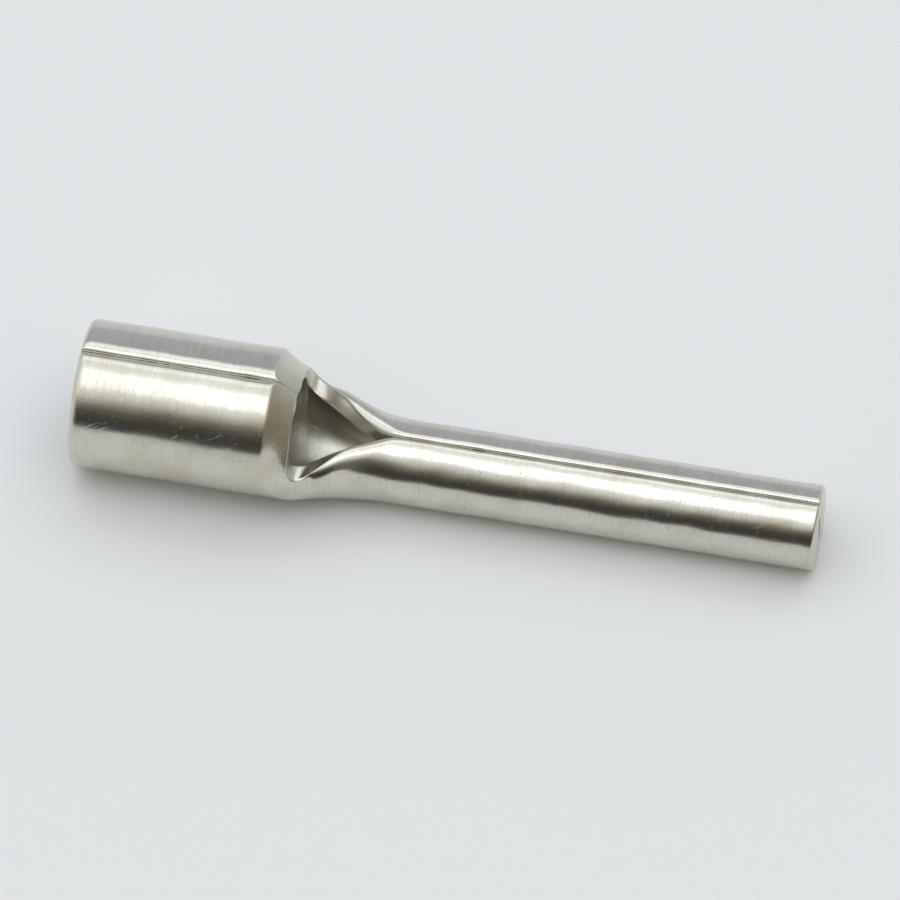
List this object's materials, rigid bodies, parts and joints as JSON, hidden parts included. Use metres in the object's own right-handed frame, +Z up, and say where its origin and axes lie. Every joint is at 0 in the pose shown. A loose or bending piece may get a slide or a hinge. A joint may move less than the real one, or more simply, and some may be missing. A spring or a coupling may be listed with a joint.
{
  "type": "uninsulated pin terminal",
  "caption": "Uninsulated crimp pin terminal rolled from one tinned copper strip: a seamed wire barrel, an open trough neck and a straight round pin for a screw clamp.",
  "frame": {"origin": "on the flat along the back that the terminal lies on, at the middle of its length", "axes": "+X along the terminal from the wire mouth to the pin's tip, +Y across, +Z up from the back to the seams"},
  "size_m": [0.017, 0.0034, 0.0033],
  "materials": {
    "tinned_copper": "satin tin plating on copper"
  },
  "bodies": {
    "root": {"pin_terminal": "tinned_copper"}
  },
  "joints": []
}
